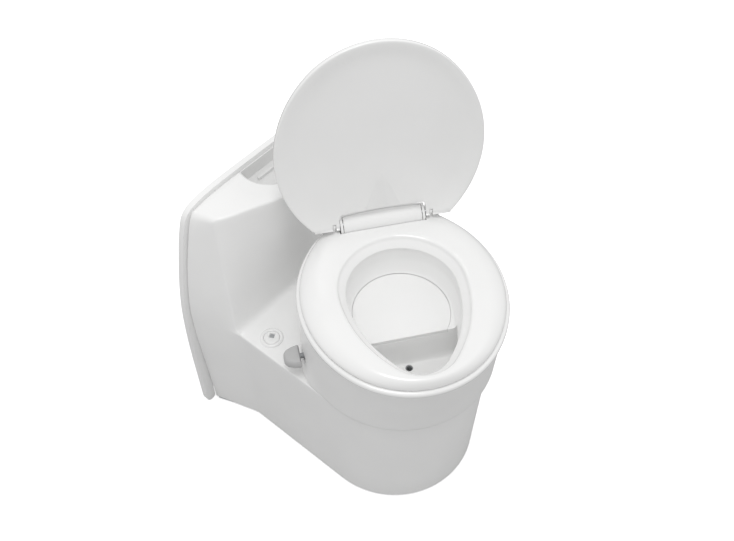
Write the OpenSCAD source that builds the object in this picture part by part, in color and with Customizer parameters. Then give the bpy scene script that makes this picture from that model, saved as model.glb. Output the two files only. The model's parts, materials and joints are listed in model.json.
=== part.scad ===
// Cassette toilet with a swivelling bowl, a console with a flush tank behind it and a
// waste tank that slides out through the rear wall frame.
// Millimetres. The origin is on the floor, on the axis the bowl swivels about.
// -Y is the front, +Y the wall behind, +X the right-hand side seen from the front.

/* [Body] */
// Half width of the pedestal at the deck
body_r = 175; // [173:0.5:177]
// Half width of the pedestal at the floor
foot_r = 168; // [165:0.5:170]
// Height of the deck the bowl turns on
deck_z = 302; // [301:0.5:303]
// Height of the console top
top_z = 567; // [560:1:572]

/* [Bowl] */
// Angle of the bowl as modelled, 0 is straight ahead and minus is towards the left
swivel_deg = -37.4; // [-80:0.1:80]
// Half width of the rim
rim_a = 185; // [184:0.5:186]
// Half length of the rim
rim_b = 207.5; // [206:0.5:209]
// Height of the top of the rim
rim_z = 468.6; // [468:0.1:469]

/* [Lid and seat] */
// Angle of the lid as modelled, 0 is closed
lid_deg = 100.5; // [0:0.5:104]
// Thickness of the seat
seat_t = 19; // [17:0.5:19]

/* [Flush] */
// Height the flush button stands above its ring, which is how far it can be pressed
button_travel = 4; // [3:0.5:5]
// Bore of the screw holes in the wall frame
frame_hole_d = 6.6; // [5:0.1:8]

/* [Waste tank] */
// Radius of the inlet in the waste tank
inlet_r = 60; // [55:1:62]

/* [Hidden] */
wall = 5;
run = 0.05;
e = 0.01;
white = [0.93, 0.93, 0.92];
grey = [0.62, 0.63, 0.64];
dark = [0.2, 0.2, 0.21];
steel = [0.7, 0.71, 0.73];
foot_z = 5;
rear_y = 350;
frame_t = 12;
arc_y = 6;
flare_y = 254;
frame_w = 220;
hinge_y = 150;
hinge_z = 500;
pin_r = 3;
ledge_z = 411;
well_z = 329;
chord = 55;
lever_z = 345;
lever_y = -8;
slide_cut = 92;
lug_x = 141;
lug_y = [-20, 300];
wheel_x = 117;
wheel_y = -45;
wheel_z = 23.05;
grip_y = 328.5;
grip_z = 74;
float_x = 101;
float_y = 120;
float_z = 200;
nozzle_y = -66;
drain_y = -68;
nozzle_z = 446;
pump_x = -72;
inlet_x = 60;
inlet_z = 480;
button_x = -141;
button_y = 198;
button_r = 17;
track_r = 150;
tank_w = 146;
tank_front = -110;
tank_rear = 338;
tank_z0 = 14;
tank_z1 = 236;
shelf_z = 188;
spout_x = -92;
spout_y = 286;
spout_z = 214;

// ---------------------------------------------------------------- helpers

module in_bowl() {
    rotate([0, 0, swivel_deg]) children();
}

// Rotates about the hinge pin: a is the opening angle.
module on_hinge(a) {
    in_bowl()
        translate([0, hinge_y, hinge_z])
            rotate([-a, 0, 0])
                translate([0, -hinge_y, -hinge_z])
                    children();
}

module rod_x(r, x0, x1, y, z) {
    translate([x0, y, z]) rotate([0, 90, 0]) cylinder(h = x1 - x0, r = r, $fn = 64);
}

module rod_y(r, y0, y1, x, z) {
    translate([x, y0, z]) rotate([-90, 0, 0]) cylinder(h = y1 - y0, r = r, $fn = 64);
}

module slab(x0, x1, y0, y1, z0, z1) {
    translate([x0, y0, z0]) cube([x1 - x0, y1 - y0, z1 - z0]);
}

module tube(r1, r0, z0, z1) {
    difference() {
        translate([0, 0, z0]) cylinder(h = z1 - z0, r = r1, $fn = 120);
        translate([0, 0, z0 - 1]) cylinder(h = z1 - z0 + 2, r = r0, $fn = 120);
    }
}

module round_slab(x0, x1, y0, y1, z0, z1, r) {
    translate([0, 0, z0]) linear_extrude(z1 - z0) round_rect(x0, x1, y0, y1, r);
}

module round_rect(x0, x1, y0, y1, r) {
    translate([x0 + r, y0]) square([x1 - x0 - 2 * r, y1 - y0]);
    translate([x0, y0 + r]) square([x1 - x0, y1 - y0 - 2 * r]);
    for (x = [x0 + r, x1 - r], y = [y0 + r, y1 - r])
        translate([x, y]) circle(r = r, $fn = 48);
}

// Oval of four tangent arcs, half width a and half length b.
function oval_c(a, b) = b - (a - 15);
function oval_side(a, b) = (a * a + pow(oval_c(a, b), 2) - pow(a - 15, 2)) / 30;
function oval_tan(a, b) =
    oval_side(a, b) * oval_c(a, b) / norm([oval_side(a, b) - a, oval_c(a, b)]);

module oval(a, b, fn = 128) {
    side = oval_side(a, b);
    c = oval_c(a, b);
    band = oval_tan(a, b);
    intersection() {
        translate([side - a, 0]) circle(r = side, $fn = 2 * fn);
        translate([a - side, 0]) circle(r = side, $fn = 2 * fn);
        union() {
            translate([-a - 1, -band]) square([2 * a + 2, 2 * band]);
            for (k = [-1, 1])
                translate([0, k * c]) circle(r = a - 15, $fn = fn);
        }
    }
}

// Convex body through ovals; each level is [height, inset from the outline].
module oval_stack(a, b, levels) {
    hull()
        for (l = levels)
            translate([0, 0, l[0]]) linear_extrude(e) oval(a - l[1], b - l[1], 64);
}

// Egg outline of the seat and bowl opening: round at the back, narrower in front.
module egg(grow = 0, fn = 128) {
    back = 112;
    nose = 66;
    nose_y = 118;
    side = 240.3;
    circle(r = back + grow, $fn = fn);
    translate([0, -nose_y]) circle(r = nose + grow, $fn = fn);
    intersection() {
        translate([side - back, 0]) circle(r = side + grow, $fn = 2 * fn);
        translate([back - side, 0]) circle(r = side + grow, $fn = 2 * fn);
        translate([-back - 10, -162.7]) square([2 * back + 20, 162.7]);
    }
}

// Outline of the wall frame in x, z.
module frame_outline(inset) {
    half = [
        [0, 575], [70, 574.5], [110, 573], [135, 570], [153, 564], [165, 555], [173, 540],
        [183, 503], [193, 457], [202, 422], [208, 384], [214, 342], [218, 290], [220, 220],
        [220, 14], [216, 5], [207, 0], [0, 0]
    ];
    k = (frame_w - inset) / frame_w;
    n = len(half);
    polygon([
        for (i = [0 : 2 * n - 3])
            i < n ? [half[i][0] * k, half[i][1] * (575 - inset) / 575]
                  : [-half[2 * n - 2 - i][0] * k, half[2 * n - 2 - i][1] * (575 - inset) / 575]
    ]);
}

// ---------------------------------------------------------------- fixed body

// Front edge of the console in plan at five heights, right half, from the middle outwards.
module console_layer(z, pts, d) {
    n = len(pts);
    all = [
        for (i = [0 : 2 * n - 1])
            i < n ? [pts[i][0] - (i > 0 ? d : 0), pts[i][1] + d]
                  : [-pts[2 * n - 1 - i][0] + (i < 2 * n - 1 ? d : 0), pts[2 * n - 1 - i][1] + d]
    ];
    translate([0, 0, z]) linear_extrude(e) polygon(all);
}

module console_block(d) {
    back = rear_y + (d > 0 ? 1 : 0);
    intersection() {
        hull() {
            console_layer(deck_z - 20, [[0, 255], [141, 256], [176, 258], [205, back]], d);
            console_layer(400, [[0, 255], [60, 258], [120, 268], [164, 274], [198, back]], d);
            console_layer(top_z - 21, [[0, 255], [56, 269], [124, 298], [148, 309], [166, back]], d);
            console_layer(top_z - 15 - d, [[0, 258], [56, 272], [122, 301], [143, 312], [158, back]], d);
            console_layer(top_z - d, [[0, 340], [60, 342], [112, 345], [122, back]], d);
        }
        translate([0, 400, 0]) rotate([90, 0, 0]) linear_extrude(300) frame_outline(9 + d);
    }
}

// Pedestal with a round front, straight drafted sides and a flared rear.
module pedestal_block(d, z0, z1) {
    slope = (body_r - foot_r) / (deck_z - foot_z);
    w0 = foot_r - d + slope * (z0 - foot_z);
    w1 = foot_r - d + slope * (z1 - foot_z);
    translate([0, arc_y, z0]) cylinder(h = z1 - z0, r1 = w0, r2 = w1, $fn = 180);
    translate([0, flare_y, 0])
        rotate([90, 0, 0])
            linear_extrude(flare_y - arc_y)
                polygon([[-w0, z0], [w0, z0], [w1, z1], [-w1, z1]]);
    hull() {
        translate([0, flare_y, 0])
            rotate([90, 0, 0])
                linear_extrude(e)
                    polygon([[-w0, z0], [w0, z0], [w1, z1], [-w1, z1]]);
        translate([0, rear_y + (d > 0 ? 1 : 0), 0])
            rotate([90, 0, 0])
                linear_extrude(e)
                    polygon([[d - 197, z0], [197 - d, z0], [205 - d, z1], [d - 205, z1]]);
    }
}

// Recess in the console top, seen from above.
module top_recess(r) {
    intersection() {
        translate([16, 332]) circle(r = r, $fn = 96);
        translate([-50, 200]) square([140, 146 + r - 54]);
    }
}

module housing() {
    color(white) difference() {
        union() {
            pedestal_block(0, foot_z, deck_z);
            console_block(0);
        }
        pedestal_block(wall, foot_z - 1, deck_z - 6);
        difference() {
            console_block(wall);
            slab(-250, 250, 200, flare_y + 12, deck_z - 30, deck_z);
            translate([0, 0, 543]) linear_extrude(30) top_recess(58);
        }
        translate([0, 0, deck_z - 10]) cylinder(h = 20, r = track_r, $fn = 180);
        translate([button_x, button_y, deck_z - 8]) cylinder(h = 12, r = button_r + 2, $fn = 64);
        for (s = [-1, 1])
            slab(s * 205 - 30, s * 205 + 30, rear_y - 8, rear_y + 1, foot_z - 1, 42);
        translate([0, 0, 552]) linear_extrude(30) top_recess(54);
    }
    color(white) for (s = [-1, 1]) {
        foot_lug(s, lug_y[0], 162);
        foot_lug(s, lug_y[1], 178);
        screw_boss(s, 184, 262, 172, 198);
        screw_boss(s, 160, 500, 150, 174);
    }
    color(white) translate([9, 326, 552 - e]) rotate([0, 0, -4]) slab(-20, 20, -2, 2, 0, 3);
}

// Screw-down lug inside the foot of the pedestal.
module foot_lug(s, y, reach) {
    difference() {
        union() {
            translate([s * lug_x, y, foot_z]) cylinder(h = 5, r = 9, $fn = 48);
            slab(s > 0 ? lug_x : -reach, s > 0 ? reach : -lug_x, y - 8, y + 8, foot_z, foot_z + 5);
        }
        translate([s * lug_x, y, foot_z - 1]) cylinder(h = 8, r = 3.25, $fn = 48);
    }
}

// Block at the rear edge that takes a screw through the wall frame.
module screw_boss(s, x, z, x0, x1) {
    difference() {
        slab(s > 0 ? x0 : -x1, s > 0 ? x1 : -x0, rear_y - 12, rear_y, z - 8, z + 8);
        rod_y(3, rear_y - 11, rear_y + 1, s * x, z);
    }
}

module foot_trim() {
    color(grey) difference() {
        pedestal_block(3, 0, foot_z);
        pedestal_block(12, -1, foot_z + 1);
        slab(-250, 250, rear_y - 10, rear_y + 10, -1, foot_z + 1);
    }
}

module wall_frame() {
    color(white) difference() {
        translate([0, rear_y + frame_t, 0])
            rotate([90, 0, 0])
                linear_extrude(frame_t)
                    difference() {
                        frame_outline(0);
                        round_rect(-156, 156, -30, 252, 12);
                        round_rect(-132, 132, 290, 500, 20);
                    }
        for (x = [-174, 174], z = [100, 420]) {
            rod_y(frame_hole_d / 2, rear_y - 1, rear_y + frame_t + 1, x, z);
            rod_y(7, rear_y - 1, rear_y + 5, x, z);
        }
        for (s = [-1, 1]) {
            slab(s * 193 - 4, s * 193 + 4, rear_y - 1, rear_y + frame_t + 1, -1, 40);
            frame_screw_hole(s * 184, 262);
            frame_screw_hole(s * 160, 500);
        }
    }
}

module frame_screw_hole(x, z) {
    rod_y(3.2, rear_y - 1, rear_y + frame_t + 1, x, z);
    rod_y(6.2, rear_y + 7, rear_y + frame_t + 1, x, z);
}

module frame_screws() {
    color(steel) for (p = [[-184, 262], [184, 262], [-160, 500], [160, 500]])
        difference() {
            union() {
                rod_y(3, rear_y - 10, rear_y + 8, p[0], p[1]);
                rod_y(6, rear_y + 7, rear_y + 10, p[0], p[1]);
            }
            rod_y(2, rear_y + 8, rear_y + 12, p[0], p[1]);
        }
}

module cassette_tray() {
    color(grey) {
        intersection() {
            slab(-130, 130, -120, rear_y + frame_t - 2, 2, 5);
            tank_plan_block(2, 5, 4);
        }
        slab(-153, 153, 20, 270, 2, 5);
        for (s = [-1, 1])
            slab(s * 151 - 2, s * 151 + 2, 20, 270, 5 - e, 26);
    }
}

module swivel_track() {
    color(grey) {
        tube(track_r, 128, deck_z - 6, deck_z + 7.2);
        tube(157, 128, deck_z + 7.1, deck_z + 11);
    }
}

module drop_chute() {
    color(white) difference() {
        union() {
            translate([0, 0, 251]) cylinder(h = 26, r1 = 60, r2 = 81, $fn = 120);
            translate([0, 0, 277 - e]) cylinder(h = 42, r = 81, $fn = 120);
            translate([0, 0, deck_z - 6]) cylinder(h = 4, r = 128, $fn = 120);
        }
        translate([0, 0, 250]) cylinder(h = 27, r1 = 56, r2 = 78, $fn = 120);
        translate([0, 0, 276]) cylinder(h = 50, r = 78, $fn = 120);
    }
}

module flush_tank() {
    color([0.86, 0.88, 0.9]) difference() {
        union() {
            round_slab(-100, 150, 296, 344, 318, 470, 12);
            round_slab(-40, 100, 304, 344, 470 - e, 515, 12);
        }
        round_slab(-97, 147, 299, 341, 321, 467, 10);
        round_slab(-37, 97, 307, 341, 460, 512, 10);
        rod_y(8, 340, 346, inlet_x, inlet_z);
        translate([pump_x, 320, 460]) cylinder(h = 12, r = 16, $fn = 48);
    }
}

module tank_fitting() {
    color(grey) difference() {
        union() {
            rod_y(8, 338, 345, inlet_x, inlet_z);
            rod_y(13, 344, 349, inlet_x, inlet_z);
            rod_y(6, 349 - e, 361, inlet_x, inlet_z);
        }
        rod_y(4, 337, 362, inlet_x, inlet_z);
    }
}

module flush_pump() {
    color(dark) {
        translate([pump_x, 320, 321]) cylinder(h = 67, r = 17, $fn = 64);
        translate([pump_x, 320, 388 - e]) cylinder(h = 79, r = 5, $fn = 48);
        translate([pump_x, 320, 466]) cylinder(h = 8, r = 15.5, $fn = 64);
    }
}

// Hose from the pump up, over beside the flush tank, down and forward under the deck.
module water_hose() {
    x = pump_x - 40;
    color(grey) {
        translate([pump_x, 320, 474]) cylinder(h = 16, r = 6, $fn = 48);
        translate([pump_x - 20, 320, 490])
            rotate([90, 0, 0])
                rotate_extrude(angle = 180, $fn = 72)
                    translate([20, 0]) circle(r = 6, $fn = 48);
        translate([x, 320, 284]) cylinder(h = 206, r = 6, $fn = 48);
        hose_bend(x, 308, 0);
        rod_y(6, 96, 308, x, 272);
        hose_bend(x, 96, 180);
        translate([x, 84, 284]) cylinder(h = 12, r = 6, $fn = 48);
    }
}

module hose_bend(x, y, turn) {
    translate([x, y, 284])
        rotate([0, 0, turn])
            rotate([0, 90, 0])
                rotate_extrude(angle = 90, $fn = 72)
                    translate([12, 0]) circle(r = 6, $fn = 48);
}

module control_unit() {
    color(dark) {
        slab(-164, -132, 300, 338, 320, 420);
        slab(-158, -138, 338 - e, 342, 330, 350);
    }
}

module switch_box() {
    color(dark) difference() {
        translate([button_x, button_y, deck_z - 34]) cylinder(h = 28, r = 21, $fn = 64);
        translate([button_x, button_y, deck_z - 31])
            cylinder(h = 30, r = button_r - 1.5, $fn = 64);
    }
}

module button_bezel() {
    color(white) difference() {
        union() {
            translate([button_x, button_y, deck_z - 6])
                cylinder(h = 7, r = button_r + 2, $fn = 96);
            translate([button_x, button_y, deck_z])
                cylinder(h = 3, r1 = button_r + 4, r2 = button_r + 2.5, $fn = 96);
        }
        translate([button_x, button_y, deck_z - 7])
            cylinder(h = 20, r = button_r - 1.5, $fn = 96);
    }
}

module flush_button() {
    color(white) difference() {
        union() {
            translate([button_x, button_y, deck_z - 12])
                cylinder(h = 12 + button_travel, r = button_r - 1.5 - run, $fn = 96);
            translate([button_x, button_y, deck_z + button_travel - e])
                cylinder(h = 2, r1 = button_r - 1.5 - run, r2 = button_r - 4, $fn = 96);
        }
        translate([button_x, button_y, deck_z + button_travel])
            rotate([0, 0, 8])
                translate([-5, -1, 0]) cube([10, 9, 4]);
        translate([button_x, button_y, deck_z - 13]) cylinder(h = 10, r = 9, $fn = 64);
    }
}

module button_spring() {
    color(steel)
        translate([button_x, button_y, 0]) tube(7, 5.5, deck_z - 31, deck_z - 3);
}

// ---------------------------------------------------------------- swivelling bowl

module swivel_ring() {
    color(grey) in_bowl() difference() {
        union() {
            tube(172, track_r + run, deck_z + run, deck_z + 7);
            tube(172, 160, deck_z + 7 - e, deck_z + 14);
        }
        skirt_screws(2, deck_z + 4, deck_z + 20);
    }
}

// Four screws that clamp the skirt to the swivel ring.
module skirt_screws(r, z0, z1) {
    for (a = [45 : 90 : 315])
        rotate([0, 0, a]) translate([166, 0, z0]) cylinder(h = z1 - z0, r = r, $fn = 32);
}

// Clearance for the lever and its arm while the blade slides.
module lever_window() {
    slab(-230, -140, lever_y - 14, lever_y + slide_cut, lever_z - 9, lever_z + 9);
}

module skirt_block(d) {
    hull() {
        translate([0, 0, deck_z + 4]) cylinder(h = e, r = 180 - d, $fn = 96);
        translate([0, 0, rim_z - 12 - e]) linear_extrude(e) oval(rim_a - 6 - d, rim_b - 6 - d, 96);
    }
}

module bowl_skirt() {
    color(white) in_bowl() difference() {
        skirt_block(0);
        difference() {
            union() {
                translate([0, 0, -0.1]) skirt_block(4);
                translate([0, 0, 0.1]) skirt_block(4);
            }
            tube(200, 158, deck_z + 14, deck_z + 17);
        }
        skirt_screws(2.2, deck_z + 10, deck_z + 20);
        lever_window();
    }
}

module rim_band() {
    color(white) in_bowl() difference() {
        union() {
            translate([0, 0, rim_z - 12]) linear_extrude(10.4) oval(rim_a, rim_b);
            translate([0, 0, rim_z - 1.6 - e]) linear_extrude(1.6 + e) oval(rim_a - 1.6, rim_b - 1.6);
        }
        translate([0, 0, rim_z - 14]) linear_extrude(16) oval(rim_a - 18, rim_b - 18);
    }
}

module bowl_floor_block(g, z) {
    translate([0, 0, z])
        linear_extrude(e)
            intersection() {
                translate([0, -20]) circle(r = 98 + g, $fn = 72);
                translate([-120, -140 - g]) square([240, 140 + 2 * g - chord - 2]);
            }
}

// Front part of the bowl: from the opening down to the well in front of the blade.
module bowl_front(z0, z1, grow, floor_grow) {
    hull() {
        translate([0, 0, z1])
            linear_extrude(e)
                intersection() {
                    egg(grow, 48);
                    translate([-150, -250]) square([300, 220]);
                }
        bowl_floor_block(floor_grow, z0);
    }
}

// The opening widens over a round shelf that the blade slides out of; the well is in front of it.
module bowl_shell() {
    lip_z = rim_z - 5;
    rear_z = ledge_z + 0.3;
    color(white) in_bowl() difference() {
        union() {
            translate([0, 0, lip_z]) linear_extrude(5) oval(rim_a - 18.4, rim_b - 18.4);
            translate([0, 0, rear_z]) cylinder(h = lip_z + 1 - rear_z, r1 = 95, r2 = 114, $fn = 96);
            difference() {
                bowl_front(well_z - 4, lip_z + 1, 2, 4);
                slab(-130, 130, 2 - chord, 20, well_z - 10, ledge_z - 8);
            }
        }
        translate([0, 0, ledge_z]) cylinder(h = 30, r1 = 90, r2 = 101, $fn = 96);
        translate([0, 0, ledge_z + 30 - e]) cylinder(h = 40, r = 101, $fn = 96);
        difference() {
            bowl_front(well_z, rim_z + 1, -11, 0);
            slab(-130, 130, -chord - 2, 20, well_z - 10, ledge_z);
        }
        translate([0, drain_y, well_z - 10]) cylinder(h = 20, r = 8.5, $fn = 48);
        slab(-130, 130, -chord - 3, 130, ledge_z - 8.2, ledge_z + 0.2);
        rod_x(7, -125, -85, nozzle_y, nozzle_z);
    }
}

// Tray under the blade, with the drop tube that turns round the fixed chute.
module blade_guide() {
    color(white) in_bowl() difference() {
        union() {
            translate([0, 0, 394]) linear_extrude(7) intersection() {
                circle(r = 168, $fn = 120);
                translate([-112, 2.5 - chord]) square([224, 240]);
            }
            difference() {
                tube(86, 83, deck_z + 2, 394 + e);
                slab(-100, 100, -100, 2.5 - chord, 300, 400);
            }
            for (s = [-1, 1])
                slab(s * 104 - 3, s * 104 + 3, 12, 120, 394, 402);
        }
        translate([0, 0, 390]) linear_extrude(20) intersection() {
            circle(r = 80, $fn = 120);
            translate([-90, 6 - chord]) square([180, 170]);
        }
    }
}

module blade_seal() {
    color(dark) in_bowl()
        translate([0, 0, 401])
            linear_extrude(1.8)
                difference() {
                    intersection() {
                        circle(r = 86, $fn = 120);
                        translate([-90, 3 - chord]) square([180, 176]);
                    }
                    intersection() {
                        circle(r = 81, $fn = 120);
                        translate([-90, 6 - chord]) square([180, 171]);
                    }
                }
}

module blade() {
    color(white) in_bowl() {
        translate([0, 0, ledge_z - 8]) linear_extrude(8) intersection() {
            circle(r = 93, $fn = 120);
            translate([-100, -chord]) square([200, 200]);
        }
    }
}

module blade_arm() {
    color(grey) in_bowl() {
        difference() {
            slab(-158, -85, lever_y - 8, lever_y + 8, ledge_z - 7, ledge_z - 3);
            translate([0, 0, ledge_z - 20]) cylinder(h = 40, r = 93, $fn = 120);
        }
        slab(-158, -153, lever_y - 8, lever_y + 8, lever_z - 5, ledge_z - 7 + e);
        rod_x(5, -197, -157, lever_y, lever_z);
    }
}

module lever_knob() {
    color(grey) in_bowl()
        translate([-219, lever_y, lever_z])
            difference() {
                intersection() {
                    translate([0, 0, -8]) linear_extrude(17) round_rect(0, 30, -21, 21, 8);
                    translate([-4, 0, -2]) rotate([0, 90, 0]) cylinder(h = 40, r = 26, $fn = 96);
                }
                translate([22, 0, 0]) rotate([0, 90, 0]) cylinder(h = 20, r = 5, $fn = 48);
            }
}

module rinse_nozzle() {
    color(white) in_bowl() difference() {
        union() {
            rod_x(7, -114, -94, nozzle_y, nozzle_z);
            translate([-114, nozzle_y, 332]) cylinder(h = nozzle_z - 332, r = 5, $fn = 48);
            translate([-114, nozzle_y, nozzle_z]) sphere(r = 7, $fn = 48);
        }
        rod_x(4, -114, -96, nozzle_y, nozzle_z);
        translate([-114, nozzle_y, 331]) cylinder(h = nozzle_z - 331, r = 3, $fn = 48);
        slab(-97, -93, nozzle_y - 5, nozzle_y + 5, nozzle_z - 2, nozzle_z + 2);
    }
}

module drain_cup() {
    color(grey) in_bowl() difference() {
        union() {
            translate([0, drain_y, 305]) cylinder(h = well_z - 304, r = 8.5 - run, $fn = 48);
            translate([0, drain_y, well_z]) cylinder(h = 1.2, r = 10.5, $fn = 48);
        }
        translate([0, drain_y, 304]) cylinder(h = 40, r = 6.5, $fn = 48);
    }
}

module hinge_cover() {
    color(white) in_bowl() difference() {
        union() {
            slab(-79, 79, hinge_y, 168, rim_z, hinge_z + 12);
            rod_x(10, -79, 79, hinge_y, hinge_z + 2);
            slab(-79, 79, hinge_y - 10, hinge_y + 1, rim_z, hinge_z + 2);
            translate([0, 0, rim_z]) linear_extrude(19.5) intersection() {
                oval(rim_a - 8, rim_b - 8);
                translate([-200, hinge_y + 8.5]) square([400, 100]);
            }
        }
        slab(-76, 76, hinge_y - 6, 165, rim_z - 1, hinge_z + 7);
        rod_x(pin_r, -90, 90, hinge_y, hinge_z);
    }
}

module hinge_pin() {
    color(steel) in_bowl() rod_x(pin_r, -93.4, 93.4, hinge_y, hinge_z);
}

module bowl_screws() {
    color(steel) in_bowl() {
        skirt_screws(2, deck_z + 5, deck_z + 17 + e);
        skirt_screws(4, deck_z + 17, deck_z + 20);
    }
}

// ---------------------------------------------------------------- seat and lid

module seat() {
    z0 = rim_z + 1.4;
    z1 = z0 + seat_t;
    color(white) in_bowl() difference() {
        oval_stack(rim_a - 7, rim_b - 7, [
            [z0, 1], [z0 + 1.5, 0], [z0 + seat_t * 0.35, 0], [z0 + seat_t * 0.62, 2],
            [z0 + seat_t * 0.84, 7], [z0 + seat_t * 0.95, 15], [z1 - e, 26]
        ]);
        hull() {
            translate([0, 0, z0 - 0.5]) linear_extrude(e) egg(-12, 64);
            translate([0, 0, z1 + 0.5]) linear_extrude(e) egg(1, 64);
        }
        slab(-200, 200, hinge_y + 7, 260, z0 - 1, z1 + 1);
        slab(-80, 80, hinge_y - 11.6, 260, z0 - 1, z1 + 1);
    }
    color(white) in_bowl() for (s = [-1, 1]) difference() {
        union() {
            slab(s * 90 - 3, s * 90 + 3, 144, 156, z0 + 6, hinge_z);
            rod_x(6, s * 90 - 3, s * 90 + 3, hinge_y, hinge_z);
        }
        rod_x(pin_r + run, s * 90 - 7, s * 90 + 7, hinge_y, hinge_z);
    }
}

module seat_buffers() {
    color(grey) in_bowl() for (p = [[-140, -60], [140, -60], [-130, 80], [130, 80]])
        translate([p[0], p[1], rim_z + 0.1]) cylinder(h = 1.3, r = 8, $fn = 48);
}

module lid() {
    z0 = hinge_z - 10;
    color(white) on_hinge(lid_deg) difference() {
        translate([0, 5, 0]) oval_stack(183.6, 205, [
            [z0, 2.5], [z0 + 1.5, 0.5], [z0 + 4, 0], [z0 + 8, 1.2], [z0 + 11.2, 5],
            [z0 + 13, 12], [z0 + 15, 60]
        ]);
        translate([0, 5, z0 - 1]) linear_extrude(7.5) intersection() {
            oval(183.6 - 19, 205 - 19);
            translate([-200, -250]) square([400, 355]);
        }
        slab(-200, 200, hinge_y, 260, z0 - 20, z0 + 30);
        slab(-80.4, 80.4, hinge_y - 26, 260, z0 - 20, z0 + 30);
        for (s = [-1, 1])
            slab(s * 90 - 3.6, s * 90 + 3.6, 139.5, 161, z0 - 20, z0 + 30);
        rod_x(pin_r + run, -100, 100, hinge_y, hinge_z);
    }
    color(white) on_hinge(lid_deg) for (s = [-1, 1]) difference() {
        union() {
            rod_x(10, s * 83.4 - 3, s * 83.4 + 3, hinge_y, hinge_z);
            rod_x(10, s * 110.8 - 17, s * 110.8 + 17, hinge_y, hinge_z);
        }
        rod_x(pin_r + run, s * 83.5 - 10, s * 83.5 + 10.5, hinge_y, hinge_z);
    }
}

// ---------------------------------------------------------------- waste tank

// Tank outline: the inner end is rounded to sit in the round front of the pedestal.
module tank_plan_block(z0, z1, d) {
    front = tank_front + d;
    round_slab(d - tank_w, tank_w - d, front, 100, z0, z1, 75 - d);
    round_slab(d - tank_w, tank_w - d, 10, tank_rear - d, z0, z1, 20 - d);
}

module waste_tank_body(d) {
    tank_plan_block(tank_z0 + d, shelf_z - d, d);
    difference() {
        tank_plan_block(shelf_z - d - 1, tank_z1 - d, d);
        slab(-200, 22 + d, 228 - d, 400, shelf_z - d - 2, tank_z1);
    }
}

module wheel_well(s, d) {
    slab(s * wheel_x - 11 - d, s * wheel_x + 11 + d, wheel_y - 22 - d, wheel_y + 22 + d,
        tank_z0 - 1 + (d > 0 ? 1 : 0), 45 + d);
}

module waste_tank() {
    color(grey) difference() {
        union() {
            difference() {
                waste_tank_body(0);
                waste_tank_body(3);
            }
            slab(-65, 65, tank_rear - 29, tank_rear - 1, 57, 113);
            for (s = [-1, 1]) {
                wheel_well(s, 3);
                slab(s * 95 - 5, s * 95 + 5, 250, 325, 5 + run, tank_z0 + 1);
                slab(s * 75 - 3, s * 75 + 3, -70, 205, tank_z1 - e, tank_z1 + 11);
            }
            translate([spout_x, spout_y, shelf_z - 4]) cylinder(h = 8, r = 27, $fn = 72);
        }
        translate([0, 0, tank_z1 - 4]) cylinder(h = 8, r = inlet_r + 4, $fn = 120);
        translate([spout_x, spout_y, shelf_z - 10]) cylinder(h = 20, r = 20, $fn = 72);
        translate([84, 270, tank_z1 - 8]) cylinder(h = 12, r = 7, $fn = 48);
        slab(-62, 62, tank_rear - 26, tank_rear + 1, 60, 110);
        rod_x(4 + run, -64.5, 64.5, grip_y, grip_z);
        for (s = [-1, 1]) {
            wheel_well(s, 0);
            rod_x(4, s * wheel_x - 13, s * wheel_x + 13, wheel_y, wheel_z);
        }
    }
    color(grey) rod_x(2, float_x - 9, tank_w - 2, float_y, float_z);
}

module inlet_collar() {
    color(dark) {
        tube(inlet_r + 4, inlet_r, tank_z1 - 4, tank_z1);
        tube(inlet_r + 8, inlet_r, tank_z1, tank_z1 + 4);
    }
}

module inlet_seal() {
    color([0.12, 0.12, 0.12]) tube(inlet_r + 7, inlet_r + 1, tank_z1 + 4, tank_z1 + 5.5);
}

module inlet_shutter() {
    color(white) {
        round_slab(-71.9, 71.9, 72, 202, tank_z1 + 6, tank_z1 + 9.5, 10);
        slab(-20, 20, 190, 198, tank_z1 + 9.5 - e, tank_z1 + 13);
    }
}

module pour_spout() {
    color(grey) difference() {
        union() {
            translate([spout_x, spout_y, shelf_z + 4]) cylinder(h = 40, r = 26, $fn = 96);
            translate([spout_x, spout_y, shelf_z - 6]) cylinder(h = 11, r = 20 - run, $fn = 96);
            rod_x(20, spout_x, spout_x + 76, spout_y, spout_z);
        }
        translate([spout_x, spout_y, shelf_z - 7]) cylinder(h = 48, r = 17, $fn = 96);
        rod_x(17, spout_x, spout_x + 80, spout_y, spout_z);
    }
}

module cap_gasket() {
    color([0.12, 0.12, 0.12]) difference() {
        rod_x(20, spout_x + 76, spout_x + 78, spout_y, spout_z);
        rod_x(16.5, spout_x + 75, spout_x + 79, spout_y, spout_z);
    }
}

module spout_cap() {
    color(dark) difference() {
        union() {
            rod_x(22.5, spout_x + 64, spout_x + 82, spout_y, spout_z);
            for (a = [0 : 30 : 330])
                translate([spout_x + 64, spout_y, spout_z])
                    rotate([a, 0, 0])
                        translate([0, -1.5, 20]) cube([18, 3, 4]);
        }
        rod_x(20 + run, spout_x + 60, spout_x + 78, spout_y, spout_z);
    }
}

module vent_button() {
    color(dark) {
        translate([84, 270, tank_z1 - 6]) cylinder(h = 12, r = 7 - run, $fn = 48);
        translate([84, 270, tank_z1 + 5]) cylinder(h = 3, r = 10, $fn = 48);
    }
}

module vent_spring() {
    color(steel) translate([84, 270, tank_z1]) tube(9.5, 7.8, 0.1, 5);
}

module grip_handle() {
    color(dark) {
        translate([0, grip_y + 4.5, 0])
            rotate([90, 0, 0])
                linear_extrude(9)
                    difference() {
                        round_rect(-58, 58, grip_z - 10, 106, 8);
                        translate([-48, 0]) square([96, 94]);
                        translate([-60, 0]) square([120, grip_z]);
                    }
        rod_x(4, -64, -48, grip_y, grip_z);
        rod_x(4, 48, 64, grip_y, grip_z);
    }
}

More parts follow.
